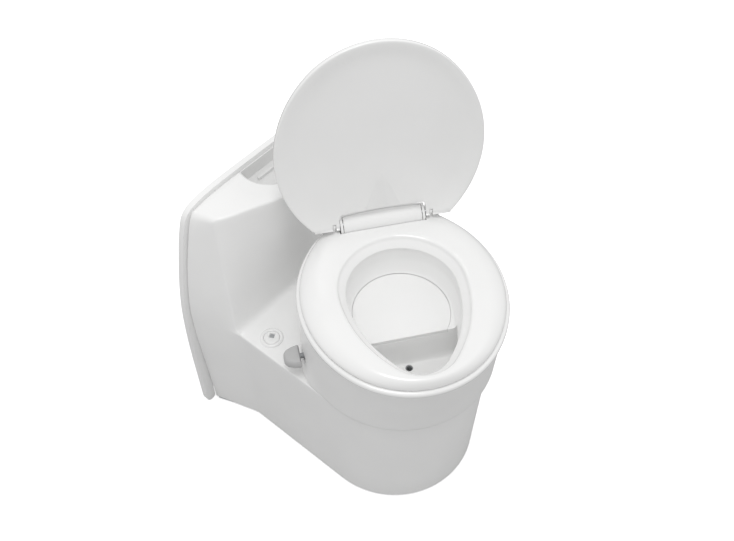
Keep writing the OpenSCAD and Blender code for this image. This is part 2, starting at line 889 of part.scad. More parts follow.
module wheel_axle() {
    color(steel) for (s = [-1, 1])
        rod_x(4 - run, s * wheel_x - 13 + run, s * wheel_x + 13 - run, wheel_y, wheel_z);
}

module wheels() {
    color(dark) for (s = [-1, 1]) difference() {
        rod_x(18, s * wheel_x - 9, s * wheel_x + 9, wheel_y, wheel_z);
        rod_x(4, s * wheel_x - 12, s * wheel_x + 12, wheel_y, wheel_z);
    }
}

module float_arm() {
    color(grey) difference() {
        union() {
            rod_x(5, float_x - 5, float_x + 5, float_y, float_z);
            slab(float_x - 3, float_x + 3, 40, float_y, float_z - 2, float_z + 2);
        }
        rod_x(2 + run, float_x - 10, float_x + 10, float_y, float_z);
    }
}

module float_ball() {
    color([0.85, 0.5, 0.2]) difference() {
        translate([float_x, 30, float_z - 8]) cylinder(h = 16, r = 14, $fn = 64);
        slab(float_x - 3, float_x + 3, 40, 60, float_z - 2, float_z + 2);
    }
}

housing();
foot_trim();
wall_frame();
cassette_tray();
swivel_track();
drop_chute();
flush_tank();
tank_fitting();
flush_pump();
water_hose();
control_unit();
frame_screws();
button_bezel();
flush_button();
button_spring();
switch_box();
swivel_ring();
bowl_skirt();
rim_band();
bowl_shell();
blade_guide();
blade_seal();
rinse_nozzle();
drain_cup();
hinge_cover();
hinge_pin();
bowl_screws();
blade();
blade_arm();
lever_knob();
seat();
seat_buffers();
lid();
waste_tank();
inlet_collar();
inlet_seal();
inlet_shutter();
pour_spout();
spout_cap();
cap_gasket();
vent_button();
vent_spring();
grip_handle();
wheel_axle();
wheels();
float_arm();
float_ball();
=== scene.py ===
import json
import math

import bmesh
import bpy
from mathutils import Matrix, Vector

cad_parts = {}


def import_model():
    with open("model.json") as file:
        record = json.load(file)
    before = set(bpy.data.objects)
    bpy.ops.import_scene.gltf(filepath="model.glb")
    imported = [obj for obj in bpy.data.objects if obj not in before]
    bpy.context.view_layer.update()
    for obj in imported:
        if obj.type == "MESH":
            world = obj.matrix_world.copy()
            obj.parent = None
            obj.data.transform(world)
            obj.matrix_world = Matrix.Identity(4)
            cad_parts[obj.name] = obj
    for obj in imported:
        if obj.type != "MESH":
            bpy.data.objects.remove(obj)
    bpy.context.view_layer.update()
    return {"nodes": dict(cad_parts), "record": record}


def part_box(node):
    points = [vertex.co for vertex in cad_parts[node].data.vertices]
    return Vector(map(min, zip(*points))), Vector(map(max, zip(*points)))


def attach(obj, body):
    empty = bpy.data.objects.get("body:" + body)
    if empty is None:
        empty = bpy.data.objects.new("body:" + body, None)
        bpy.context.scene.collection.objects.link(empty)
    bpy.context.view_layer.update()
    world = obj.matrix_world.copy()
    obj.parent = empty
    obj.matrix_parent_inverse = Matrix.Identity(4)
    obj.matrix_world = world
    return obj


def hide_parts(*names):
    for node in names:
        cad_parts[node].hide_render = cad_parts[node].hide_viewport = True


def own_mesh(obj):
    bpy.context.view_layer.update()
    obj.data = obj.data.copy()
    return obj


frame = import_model()

# ------------------------------------------------------------------ sizes, in millimetres
SWIVEL = math.radians(-37.4)  # turn of the bowl at rest
LID_OPEN = math.radians(100.5)  # opening of the lid at rest
HINGE_Y, HINGE_Z = 150.0, 500.0  # pin of lid and seat, in the bowl's frame
RIM_Z = 468.6  # top of the rim
LEDGE_Z = 411.0  # ledge inside the bowl, level with the top of the blade
WELL_Z = 329.0  # floor of the front well
CHORD = 53.4  # straight front edge of the blade, in front of the swivel axis
BLADE_THICK = 8.0
DECK_Z = 302.0  # deck of the pedestal
REAR_Y = 350.0  # front face of the wall frame
ARC_Y = 6.0  # centre of the pedestal's round front
BUTTON_X, BUTTON_Y = -141.0, 198.0


# ------------------------------------------------------------------ frames
def world(p):
    """A point of the fixed body."""
    return Vector(p) * 0.001


def bowl(p):
    """A point given in the bowl's own frame, -Y to the front of the bowl."""
    x, y, z = p
    c, s = math.cos(SWIVEL), math.sin(SWIVEL)
    return Vector((x * c - y * s, x * s + y * c, z)) * 0.001


def cover(p):
    """A point of the lid, given with the lid shut."""
    x, y, z = p
    dy, dz = y - HINGE_Y, z - HINGE_Z
    c, s = math.cos(LID_OPEN), math.sin(LID_OPEN)
    return bowl((x, HINGE_Y + dy * c + dz * s, HINGE_Z - dy * s + dz * c))


# ------------------------------------------------------------------ mesh helpers
def make(name, verts, faces, place=world):
    mesh = bpy.data.meshes.new(name)
    mesh.from_pydata([place(v) for v in verts], [], faces)
    mesh.validate()
    obj = bpy.data.objects.new(name, mesh)
    bpy.context.scene.collection.objects.link(obj)
    bm = bmesh.new()
    bm.from_mesh(mesh)
    bmesh.ops.remove_doubles(bm, verts=bm.verts, dist=1e-6)
    bmesh.ops.recalc_face_normals(bm, faces=bm.faces)
    bm.to_mesh(mesh)
    bm.free()
    return obj


def stack(rings):
    """Verts and faces of rings joined one to the next and closed at both ends."""
    n = len(rings[0])
    verts = [p for ring in rings for p in ring]
    faces = []
    for r in range(len(rings) - 1):
        for i in range(n):
            j = (i + 1) % n
            faces.append((r * n + i, r * n + j, (r + 1) * n + j, (r + 1) * n + i))
    faces.append(tuple(range(n)))
    faces.append(tuple((len(rings) - 1) * n + i for i in range(n)))
    return verts, faces


def around(rings):
    """Rings joined one to the next and the last to the first, as in a tyre."""
    n, m = len(rings[0]), len(rings)
    verts = [p for ring in rings for p in ring]
    faces = []
    for r in range(m):
        q = (r + 1) % m
        for i in range(n):
            j = (i + 1) % n
            faces.append((r * n + i, r * n + j, q * n + j, q * n + i))
    return verts, faces


def prism(outline, z0, z1, place=world, name="cutter"):
    """Solid between two heights from a plan outline."""
    rings = [[(x, y, z) for x, y in outline] for z in (z0, z1)]
    return make(name, *stack(rings), place)


def panel(outline, y0, y1, name="cutter"):
    """Upright solid between two depths from an outline of (x, z)."""
    rings = [[(x, y, z) for x, z in outline] for y in (y0, y1)]
    return make(name, *stack(rings))


def box(x0, x1, y0, y1, z0, z1, place=world):
    return prism([(x0, y0), (x1, y0), (x1, y1), (x0, y1)], z0, z1, place)


def bake(obj):
    """Applies all modifiers."""
    bpy.context.view_layer.update()
    graph = bpy.context.evaluated_depsgraph_get()
    mesh = bpy.data.meshes.new_from_object(obj.evaluated_get(graph))
    old = obj.data
    obj.modifiers.clear()
    obj.data = mesh
    bpy.data.meshes.remove(old)


def carve(obj, cutters, operation="DIFFERENCE"):
    """Boolean with solids that are thrown away afterwards."""
    for cutter in cutters:
        mod = obj.modifiers.new("cut", "BOOLEAN")
        mod.operation = operation
        mod.solver = "MANIFOLD"
        mod.object = cutter
    bake(obj)
    for cutter in cutters:
        bpy.data.objects.remove(cutter)


def soften(obj, width, angle, segments):
    """Rounds every edge sharper than angle, in degrees, by width millimetres."""
    mod = obj.modifiers.new("edge", "BEVEL")
    mod.width = width * 0.001
    mod.segments = segments
    mod.limit_method = "ANGLE"
    mod.angle_limit = math.radians(angle)
    mod.use_clamp_overlap = True
    mod.miter_outer = "MITER_ARC"


def finish_piece(obj, body, material, replaces, angle=40.0):
    """Applies the modifiers, shades the piece and hands it to its body."""
    bake(obj)
    mesh = obj.data
    for poly in mesh.polygons:
        poly.use_smooth = True
    mesh.set_sharp_from_angle(angle=math.radians(angle))
    mesh.materials.clear()
    mesh.materials.append(material)
    if replaces:
        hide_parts(*replaces)
    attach(obj, body)


# ------------------------------------------------------------------ outlines
def lerp(a, b, t):
    return a + (b - a) * t


def table(points, x):
    """Straight-line interpolation in a short table of (x, value)."""
    if x <= points[0][0]:
        return points[0][1]
    for (x0, v0), (x1, v1) in zip(points, points[1:]):
        if x <= x1:
            return v0 + (v1 - v0) * (x - x0) / (x1 - x0)
    return points[-1][1]


def oval_point(a, b, phi):
    """Point of the oval whose outward normal has angle phi; insets of it are parallel."""
    r1 = a - 15.0
    c = b - r1
    r2 = (a * a + c * c - r1 * r1) / 30.0
    half = math.atan2(c, r2 - a)
    phi = phi % (2 * math.pi)
    if phi < half or phi > 2 * math.pi - half:
        return (-(r2 - a) + r2 * math.cos(phi), r2 * math.sin(phi))
    if phi < math.pi - half:
        return (r1 * math.cos(phi), c + r1 * math.sin(phi))
    if phi <= math.pi + half:
        return ((r2 - a) + r2 * math.cos(phi), r2 * math.sin(phi))
    return (r1 * math.cos(phi), -c + r1 * math.sin(phi))


def egg_point(grow, phi):
    """Point of the bowl opening whose outward normal has angle phi."""
    back, nose, nose_y, side = 112.0, 66.0, 118.0, 240.3
    half = math.asin(nose_y / (side - nose))
    phi = phi % (2 * math.pi)
    c, s = math.cos(phi), math.sin(phi)
    if phi <= math.pi:
        return ((back + grow) * c, (back + grow) * s)
    if phi <= math.pi + half:
        return (side - back + (side + grow) * c, (side + grow) * s)
    if phi < 2 * math.pi - half:
        return ((nose + grow) * c, -nose_y + (nose + grow) * s)
    return (back - side + (side + grow) * c, (side + grow) * s)


def angles(n):
    return [2 * math.pi * (i + 0.5) / n for i in range(n)]


def oval_rings(a, b, rows, n, cy=0.0):
    """Rings of the oval, one for each (inset, z)."""
    rings = []
    for inset, z in rows:
        ring = []
        for phi in angles(n):
            x, y = oval_point(a, b, phi)
            x, y = x - inset * math.cos(phi), y - inset * math.sin(phi)
            ring.append((x, y + cy, z))
        rings.append(ring)
    return rings


def circle_outline(cx, cy, r, n=64):
    turns = [2 * math.pi * i / n for i in range(n)]
    return [(cx + r * math.cos(a), cy + r * math.sin(a)) for a in turns]


def arc(r, first, last, step, cy=0.0):
    """Points of a circle arc round (0, cy), angles in degrees."""
    turns = [math.radians(a) for a in range(first, last, step)]
    return [(r * math.cos(a), cy + r * math.sin(a)) for a in turns]


# ------------------------------------------------------------------ materials
def moulded(name, color, rough=0.3, coat=0.0, grain=0.0, shade=0.03, scale=9.0, wear=0.25, metallic=0.0):
    """Moulded or metal finish: slight cloudiness, uneven gloss, fine grain and rubbed edges."""
    mat = bpy.data.materials.new(name)
    mat.use_nodes = True
    tree = mat.node_tree
    tree.nodes.clear()
    new, link = tree.nodes.new, tree.links.new
    out = new("ShaderNodeOutputMaterial")
    bsdf = new("ShaderNodeBsdfPrincipled")
    link(bsdf.outputs["BSDF"], out.inputs["Surface"])
    coord = new("ShaderNodeTexCoord")
    cloud = new("ShaderNodeTexNoise")
    cloud.inputs["Scale"].default_value = scale
    cloud.inputs["Detail"].default_value = 4.0
    link(coord.outputs["Object"], cloud.inputs["Vector"])
    ramp = new("ShaderNodeValToRGB")
    ramp.color_ramp.elements[0].position = 0.3
    ramp.color_ramp.elements[1].position = 0.7
    ramp.color_ramp.elements[0].color = (*[c * (1 - shade) for c in color], 1)
    ramp.color_ramp.elements[1].color = (*color, 1)
    link(cloud.outputs["Fac"], ramp.inputs["Fac"])
    geom = new("ShaderNodeNewGeometry")
    edge = new("ShaderNodeMapRange")
    edge.inputs["From Min"].default_value = 0.52
    edge.inputs["From Max"].default_value = 0.62
    edge.inputs["To Max"].default_value = wear
    link(geom.outputs["Pointiness"], edge.inputs["Value"])
    mix = new("ShaderNodeMix")
    mix.data_type = "RGBA"
    link(edge.outputs["Result"], mix.inputs["Factor"])
    link(ramp.outputs["Color"], mix.inputs["A"])
    mix.inputs["B"].default_value = (*[min(1.0, c * 1.12 + 0.02) for c in color], 1)
    link(mix.outputs["Result"], bsdf.inputs["Base Color"])
    smear = new("ShaderNodeTexNoise")
    smear.inputs["Scale"].default_value = scale * 4
    smear.inputs["Detail"].default_value = 6.0
    link(coord.outputs["Object"], smear.inputs["Vector"])
    gloss = new("ShaderNodeMapRange")
    gloss.inputs["To Min"].default_value = rough * 0.85
    gloss.inputs["To Max"].default_value = rough * 1.2
    link(smear.outputs["Fac"], gloss.inputs["Value"])
    link(gloss.outputs["Result"], bsdf.inputs["Roughness"])
    if grain > 0:
        fine = new("ShaderNodeTexNoise")
        fine.inputs["Scale"].default_value = 900.0
        fine.inputs["Detail"].default_value = 3.0
        link(coord.outputs["Object"], fine.inputs["Vector"])
        bump = new("ShaderNodeBump")
        bump.inputs["Strength"].default_value = grain
        bump.inputs["Distance"].default_value = 0.0004
        link(fine.outputs["Fac"], bump.inputs["Height"])
        link(bump.outputs["Normal"], bsdf.inputs["Normal"])
    bsdf.inputs["Metallic"].default_value = metallic
    bsdf.inputs["Coat Weight"].default_value = coat
    bsdf.inputs["Coat Roughness"].default_value = 0.16
    return mat


WHITE = moulded("white_abs", (0.90, 0.90, 0.895), rough=0.36, coat=0.2, grain=0.05, wear=0.05)
GLOSS = moulded("white_gloss", (0.88, 0.88, 0.875), rough=0.22, coat=0.45, grain=0.02, shade=0.02,
                wear=0.05)
BOWL = moulded("white_pp", (0.89, 0.89, 0.885), rough=0.4, coat=0.12, grain=0.03, wear=0.0)
# white plastic dimmed to 0.74 so the console's recess tray looks shaded: painted shade of the recess
TRAY_PAINTED_SHADE = moulded("tray_white_painted_shade", (0.74, 0.74, 0.735), rough=0.4, coat=0.1, grain=0.05, wear=0.0)
GREY = moulded("grey_plastic", (0.36, 0.37, 0.38), rough=0.48, grain=0.25)
KNOB = moulded("knob_grey", (0.50, 0.50, 0.50), rough=0.42, grain=0.15)
TANK = moulded("tank_grey", (0.30, 0.32, 0.35), rough=0.5, grain=0.35, shade=0.08)
BLACK = moulded("black_plastic", (0.02, 0.02, 0.022), rough=0.45, grain=0.3, shade=0.2)
MILKY = moulded("clear_pe", (0.68, 0.71, 0.74), rough=0.4, grain=0.15, shade=0.06)
HOSE = moulded("hose_pvc", (0.48, 0.51, 0.54), rough=0.3, grain=0.08)
RUBBER = moulded("black_rubber", (0.012, 0.012, 0.012), rough=0.7, grain=0.4, shade=0.25)
SOFT = moulded("grey_rubber", (0.33, 0.33, 0.33), rough=0.65, grain=0.3)
STEEL = moulded("zinc_steel", (0.55, 0.56, 0.58), rough=0.28, grain=0.12, metallic=1.0, shade=0.1)
FOAM = moulded("float_orange", (0.65, 0.22, 0.05), rough=0.6, grain=0.5, shade=0.15)
FINISH = {
    "white_abs": WHITE, "white_gloss": GLOSS, "white_pp": BOWL, "grey_plastic": GREY,
    "knob_grey": KNOB, "tank_grey": TANK, "black_plastic": BLACK, "clear_pe": MILKY,
    "hose_pvc": HOSE, "black_rubber": RUBBER, "grey_rubber": SOFT, "zinc_steel": STEEL,
    "float_orange": FOAM,
}


def dress_nodes():
    """Gives every node of the frame its finish and a small edge radius."""
    slot_of = {part["node"]: part["material_slot"] for part in frame["record"]["subparts"]}
    for node_name, obj in frame["nodes"].items():
        finish = FINISH[slot_of[node_name]]
        if obj.material_slots:
            for place in obj.material_slots:
                place.material = finish
        else:
            obj.data.materials.append(finish)
        mod = obj.modifiers.new("edge", "BEVEL")
        mod.width = 0.0006
        mod.segments = 2
        mod.limit_method = "ANGLE"
        mod.angle_limit = math.radians(50)
        mod.use_clamp_overlap = True


# ------------------------------------------------------------------ lid
def build_lid():
    """Lid: a dished oval plate with an arched notch for the hinge cover and knuckles beside it."""
    rows = [
        (168, 495.2), (80, 495.0), (42, 494.7), (30, 494.1), (22, 493.1), (15, 491.9), (9, 490.9),
        (4.5, 490.3), (1.8, 490.2), (0.7, 490.6), (0.1, 491.6), (0, 493.5), (0, 497.5), (0.5, 499.8),
        (1.8, 501.8), (4, 503.2), (8, 504.2), (14, 504.9), (30, 505.6), (70, 506.2), (168, 506.6),
    ]
    verts, faces = stack(oval_rings(183.6, 205, rows, 144, 5.0))
    lid = make("lid_panel", verts, faces, cover)
    notch = [(80.4, 260), (80.4, 136)]
    for k in range(17):
        u = 1 - k / 8.0
        notch.append((77.0 * u, 125.2 - 3.0 * (1 - u * u)))
    notch += [(-80.4, 136), (-80.4, 260)]
    carve(lid, [
        prism(notch, 470, 540, cover),
        box(-300, 300, 150, 300, 470, 540, cover),
        box(-93.2, -86.8, 143.6, 160, 470, 540, cover),
        box(86.8, 93.2, 143.6, 160, 470, 540, cover),
    ])
    under = [(80, 494.5), (94, 493.9), (105, 492.8), (115, 491.6), (122, 490.8), (127, 490.3)]
    knuckles = []
    for side in (-1, 1):
        for stations in ((80.5, 84, 86.7), (93.3, 99, 105, 110, 115, 119, 123, 126.5)):
            rings = []
            for x in stations:
                low = table(under, x)
                ring = [(147, 505.3), (147, low), (150.5, low), (153.2, max(low, 491.0))]
                for k in range(13):
                    t = math.radians(-58 + (58 + 95) * k / 12)
                    ring.append((HINGE_Y + 9.7 * math.cos(t), HINGE_Z + 9.7 * math.sin(t)))
                ring.append((148.3, HINGE_Z + 8.4))
                rings.append([(side * x, y, z) for y, z in ring])
            knuckles.append(make("knuckle", *stack(rings), cover))
    carve(lid, knuckles, "UNION")
    soften(lid, 0.9, 55, 2)
    finish_piece(lid, "cover", GLOSS, ["lid"], 45)


# ------------------------------------------------------------------ seat
def build_seat():
    """Seat ring, whose section runs from the outer oval to the egg-shaped opening, with two hinge lugs."""
    profile = [
        (0.03, 470.1), (0.008, 470.6), (0.0, 471.6), (0.0, 473.0), (0.02, 475.4), (0.07, 478.4),
        (0.14, 481.4), (0.23, 484.4), (0.33, 486.9), (0.43, 488.4), (0.54, 489.2), (0.64, 489.4),
        (0.76, 489.3), (0.86, 489.0), (0.93, 488.4), (0.97, 487.3), (0.995, 485.4), (1.0, 483.2),
    ]
    rings = []
    for w, z in profile:
        ring = []
        for phi in angles(160):
            ox, oy = oval_point(178, 200.5, phi)
            ix, iy = egg_point(0.0, phi)
            ring.append((lerp(ox, ix, w), lerp(oy, iy, w), z))
        rings.append(ring)
    for grow, z in ((-3.4, 480.0), (-8.4, 475.5), (-12.4, 471.8), (-13.2, 470.6), (-12.6, 470.1)):
        rings.append([egg_point(grow, phi) + (z,) for phi in angles(160)])
    seat = make("seat_ring_top", *around(rings), bowl)
    carve(seat, [
        box(-80.6, 80.6, 138.6, 260, 460, 520, bowl),
        box(-300, 300, 157, 300, 460, 520, bowl),
    ])
    soften(seat, 1.0, 50, 2)
    finish_piece(seat, "seat_ring", GLOSS, ["seat"], 45)
    for side, label in ((-1, "left"), (1, "right")):
        section = [(156, 476), (148, 476), (148, 491)]
        for k in range(15):
            t = math.pi - math.pi * k / 14
            section.append((HINGE_Y + 5.2 * math.cos(t), HINGE_Z + 5.2 * math.sin(t)))
        ends = [[(x, y, z) for y, z in section] for x in (side * 90 - 2.4, side * 90 + 2.4)]
        lug = make("seat_lug_" + label, *stack(ends), bowl)
        soften(lug, 0.7, 50, 2)
        finish_piece(lug, "seat_ring", GLOSS, (), 40)


# ------------------------------------------------------------------ rim, bowl and skirt
def build_rim():
    rows = [
        (18, 468.3), (12, 468.6), (7.5, 468.6), (4.2, 468.2), (2.0, 467.2), (0.7, 465.6), (0.1, 463.6),
        (0, 461.8), (0.3, 459.6), (1.4, 457.8), (3.2, 456.9), (6, 456.6), (18, 456.6),
    ]
    rim = make("rim_bead", *around(oval_rings(185, 207.5, rows, 144)), bowl)
    finish_piece(rim, "bowl", GLOSS, ["rim_band"], 50)


def smooth(t):
    t = min(1.0, max(0.0, t))
    return t * t * (3 - 2 * t)


def wall_point(phi, z, inset):
    """Point of the bowl wall: the opening pulled in, and in front drawn towards the well floor."""
    f = (RIM_Z - z) / (RIM_Z - WELL_Z)
    x, y = egg_point(-10.5, phi)
    c, s = math.cos(phi), math.sin(phi)
    front = smooth((-s - 0.25) / 0.4)
    fx, fy = lerp(x, 96 * c, f), lerp(y, -22 + 96 * s, f)
    rx, ry = x - inset * c, y - inset * s
    return lerp(rx, fx, front), lerp(ry, fy, front)


def well_ring(z, grow, radius, back_y, pull=0.0, n=61):
    """Plan of the front well at height z: the wall curve in front of back_y, pulled in by pull."""
    f = (RIM_Z - z) / (RIM_Z - WELL_Z)

    def point(t):
        ex, ey = egg_point(grow, t)
        x, y = lerp(ex, radius * math.cos(t), f), lerp(ey, -22 + radius * math.sin(t), f)
        return x - pull * math.cos(t), y - pull * math.sin(t)

    lo, hi = math.pi, 1.4 * math.pi
    for _ in range(40):
        mid = (lo + hi) / 2
        if point(mid)[1] > back_y:
            lo = mid
        else:
            hi = mid
    return [point(lerp(hi, 3 * math.pi - hi, k / (n - 1))) + (z,) for k in range(n)]


def build_bowl():
    """Bowl with its flange, front well and blade slot, and the drain tube in the well floor."""
    n = 144
    outer = []
    for grow, z in ((-5.5, 468.4), (-5.5, 450), (-8.5, 430), (-14.5, 418), (-19.5, 408), (-24.5, 399)):
        outer.append([egg_point(grow, phi) + (z,) for phi in angles(n)])
    shell = make("bowl_inner", *stack(outer), bowl)
    well_out = [well_ring(z, -6.5, 100.0, -CHORD + 1.6) for z in (452, 325)]
    flange = []
    for z, inner in ((463.6, False), (468.3, False), (468.3, True), (463.6, True)):
        ring = []
        for phi in angles(n):
            if inner:
                x, y = egg_point(-8.0, phi)
            else:
                x, y = oval_point(185, 207.5, phi)
                x, y = x - 17.6 * math.cos(phi), y - 17.6 * math.sin(phi)
            ring.append((x, y, z))
        flange.append(ring)
    carve(shell, [
        make("well_body", *stack(well_out), bowl),
        make("flange", *around(flange), bowl),
    ], "UNION")
    rows = [
        (-3.0, 475), (0, 468.4), (0.4, 455), (0.8, 445), (1.1, 440.5), (2.3, 436), (4.2, 429.5),
        (6.4, 423), (8.6, 418), (10.4, 414.6), (12.2, 412.3), (15.5, LEDGE_Z + 0.35),
        (22.0, LEDGE_Z + 0.35),
    ]
    rings = []
    for inset, z in rows:
        rings.append([wall_point(phi, min(z, RIM_Z), inset) + (z,) for phi in angles(n)])
    cavity = make("cavity", *stack(rings), bowl)
    well = []
    for z, pull in ((420, 0), (380, 0), (345, 0), (337, 1.0), (332.5, 3.2), (330, 6.5), (WELL_Z, 12.0)):
        well.append(well_ring(z, -10.5, 96.0, -CHORD - 2.2 - 0.5 * pull, pull))
    well_cut = make("well_cut", *stack(well), bowl)
    slot_plan = [(x, max(y, -CHORD - 1)) for x, y in arc(88.7, -38, 219, 4)]
    slot_plan = [(75, -CHORD - 6)] + slot_plan + [(-75, -CHORD - 6)]
    slot_cut = prism(slot_plan, LEDGE_Z - BLADE_THICK - 0.4, LEDGE_Z + 3, bowl)
    travel = [(88.9, -2)] + arc(88.9, 0, 181, 4, 66) + [(-88.9, -2)]
    behind = prism(travel, LEDGE_Z - BLADE_THICK - 0.5, LEDGE_Z + 0.42, bowl)
    under = prism(circle_outline(0, 0, 84, 96), 380, LEDGE_Z - BLADE_THICK, bowl)
    carve(under, [box(-100, 100, -100, -CHORD + 1.6, 370, 420, bowl)])
    drain = prism(circle_outline(0, -68, 7.0, 40), 315, 340, bowl)
    carve(shell, [cavity, well_cut, slot_cut, behind, under, drain])
    soften(shell, 2.0, 38, 3)
    finish_piece(shell, "bowl", BOWL, ["bowl_shell", "drain_cup"], 40)
    tube = []
    for r, z in ((6.9, 305), (6.9, 329.2), (6.2, 329.2), (5.4, 328.2), (5.2, 326), (5.2, 305)):
        tube.append([(x, y, z) for x, y in circle_outline(0, -68, r, 40)])
    cup = make("drain_tube", *around(tube), bowl)
    finish_piece(cup, "bowl", GREY, (), 40)


def build_blade():
    """Closing blade: a disc with a straight front edge."""
    edge = [p for p in arc(88.2, -38, 219, 4) if p[1] > -CHORD - 1]
    plan = [(69.8, -CHORD - 1.6)] + edge + [(-69.8, -CHORD - 1.6)]
    blade = prism(plan, LEDGE_Z - BLADE_THICK, LEDGE_Z + 0.3, bowl, "blade_plate")
    soften(blade, 3.0, 40, 4)
    finish_piece(blade, "closing_blade", BOWL, ["blade"], 40)


def build_knob():
    """Paddle on the end of the blade lever."""
    outline = [
        (-189, -29), (-189, 13), (-192, 14), (-203, 12), (-214, 7), (-218.6, 1), (-219.6, -8),
        (-218.6, -17), (-214, -23), (-203, -28), (-192, -30),
    ]
    rows = [
        (3.0, 336.6), (0.8, 337.6), (0, 340), (0, 345.5), (0.8, 349.5), (3.4, 353.4), (5.0, 354.5),
        (9, 354.9),
    ]
    cx, cy = -202.0, -8.0
    rings = []
    for inset, z in rows:
        ring = []
        for x, y in outline:
            d = math.hypot(x - cx, y - cy)
            ring.append((x - (x - cx) * inset / d, y - (y - cy) * inset / d, z))
        rings.append(ring)
    knob = make("lever_paddle", *stack(rings), bowl)
    soften(knob, 1.6, 25, 3)
    finish_piece(knob, "closing_blade", KNOB, ["lever_knob"], 50)


SKIRT_LOW, SKIRT_TOP = 303.0, 457.0


def skirt_point(phi, z):
    """Skirt wall, from a circle at the deck to the oval under the rim, with a fairing on the left."""
    t = (z - SKIRT_LOW) / (SKIRT_TOP - SKIRT_LOW)
    ease = t ** 1.15
    cx, cy = 180.0 * math.cos(phi), 180.0 * math.sin(phi)
    ox, oy = oval_point(180.5, 203.0, phi)
    x, y = lerp(cx, ox, ease), lerp(cy, oy, ease)
    if x < 0:
        side = smooth(1 - max(0.0, abs(y - 4) - 44) / 42.0)
        x -= side * (3.0 * (1 - t) ** 0.6 + 6.0 * (1 - t) ** 5)
    return x, y


def build_skirt():
    """Skirt round the bowl: a 4 mm wall with the slot for the blade lever."""
    levels = [(SKIRT_LOW, 1.6), (304.2, 0.4)]
    levels += [(z, 0.0) for z in (308, 320, 336, 354, 375, 400, 425, 445, SKIRT_TOP)]
    outer, inner = [], []
    for z, inset in levels:
        for rings, depth in ((outer, inset), (inner, 4)):
            ring = []
            for phi in angles(160):
                x, y = skirt_point(phi, z)
                ring.append((x - depth * math.cos(phi), y - depth * math.sin(phi), z))
            rings.append(ring)
    skirt = make("skirt_shell", *around(outer + inner[::-1]), bowl)
    carve(skirt, [box(-240, -140, -22, 84, 336, 354, bowl)])
    soften(skirt, 1.6, 45, 3)
    finish_piece(skirt, "bowl", WHITE, ["bowl_skirt"], 45)


# ------------------------------------------------------------------ hinge cover
BAR_HALF = 78.6


def bar_rear(x):
    """Bowed rear edge of the hinge cover."""
    return 157.5 + 6.0 * (1 - (x / BAR_HALF) ** 2)


def bar_section(x, grow, lift):
    """Side profile of the hinge cover at x: grow moves the rear edge, lift raises the top."""
    front, rear = 139.8, bar_rear(x) + grow
    crest = lerp(front + 12.4, rear - 1.5, 0.5)
    return [
        (front + 1.5, 469.0), (front + 0.2, 474), (front - 0.2, 482), (front + 0.1, 488.5),
        (front + 1.0, 493.0), (front + 2.8, 497.4 + lift), (front + 5.4, 501.2 + lift),
        (front + 8.6, 504.2 + lift), (front + 12.4, 506.8 + lift), (crest, 509.2 + lift),
        (rear - 1.5, 510.9 + lift), (rear - 0.3, 510.4 + lift), (rear, 508.8 + lift), (rear, 469.0),
    ]


def build_hinge_cover():
    """Hinge cover in three pieces: an outer frame, the bar set into it and the deck behind the seat."""
    across = [-1 + k / 20.0 for k in range(41)]
    rows = [[(BAR_HALF * u, y, z) for y, z in bar_section(BAR_HALF * u, 5.6, -0.6)] for u in across]
    frame_bar = make("hinge_frame", *stack(rows), bowl)
    hole = [(74.2 * u, bar_rear(74.2 * u) + 1.6) for u in across[::-1]]
    hole = [(74.2, 100)] + hole + [(-74.2, 100)]
    carve(frame_bar, [prism(hole, 486, 540, bowl)])
    soften(frame_bar, 0.9, 50, 3)
    finish_piece(frame_bar, "bowl", GLOSS, ["hinge_cover"], 45)
    rows = []
    for u in across:
        x = 72.9 * u
        drop = max(0.0, (abs(x) - 70.5) / 2.4)
        rows.append([(x, y, z - (drop if z > 487 else 0)) for y, z in bar_section(x, 0.0, 0.0)])
    bar = make("hinge_bar", *stack(rows), bowl)
    carve(bar, [box(-90, 90, 142.5, 175, 460, 486.5, bowl)])
    soften(bar, 0.9, 60, 2)
    finish_piece(bar, "bowl", GLOSS, (), 45)
    plan = []
    for phi in angles(180):
        x, y = oval_point(177, 199.5, phi)
        if y > HINGE_Y + 9:
            plan.append((x, y))
    x_end = plan[0][0] + 4
    plan = [(x_end, HINGE_Y + 8.6)] + plan + [(-x_end, HINGE_Y + 8.6)]
    deck = prism(plan, 468.7, 487.5, bowl, "hinge_deck")
    carve(deck, [box(-79.2, 79.2, 100, 170, 460, 530, bowl)])
    soften(deck, 3.0, 50, 3)
    finish_piece(deck, "bowl", GLOSS, (), 45)


# ------------------------------------------------------------------ wall frame
FRAME_EDGE = [
    (0, 575), (35, 575), (70, 574.6), (95, 573.8), (119, 571.6), (138, 568), (152, 563), (161, 556.5),
    (167.5, 548), (172, 537), (178, 518), (184, 497), (191, 466), (198, 434), (204, 402), (209, 372),
    (213, 340), (216, 305), (218, 265), (219.4, 220), (220, 160), (220, 24),
]
FRAME_FOOT = [
    (219.2, 14), (216.5, 6), (212, 1.6), (207, 0.4), (202, 1.6), (198.6, 5), (197, 10), (197, 40),
    (189, 40), (189, 0.6), (156, 0.6), (156, 238), (153, 247), (144, 252), (0, 252),
]


def frame_half_width(z):
    return table([(height, half) for half, height in FRAME_EDGE[::-1]], z)


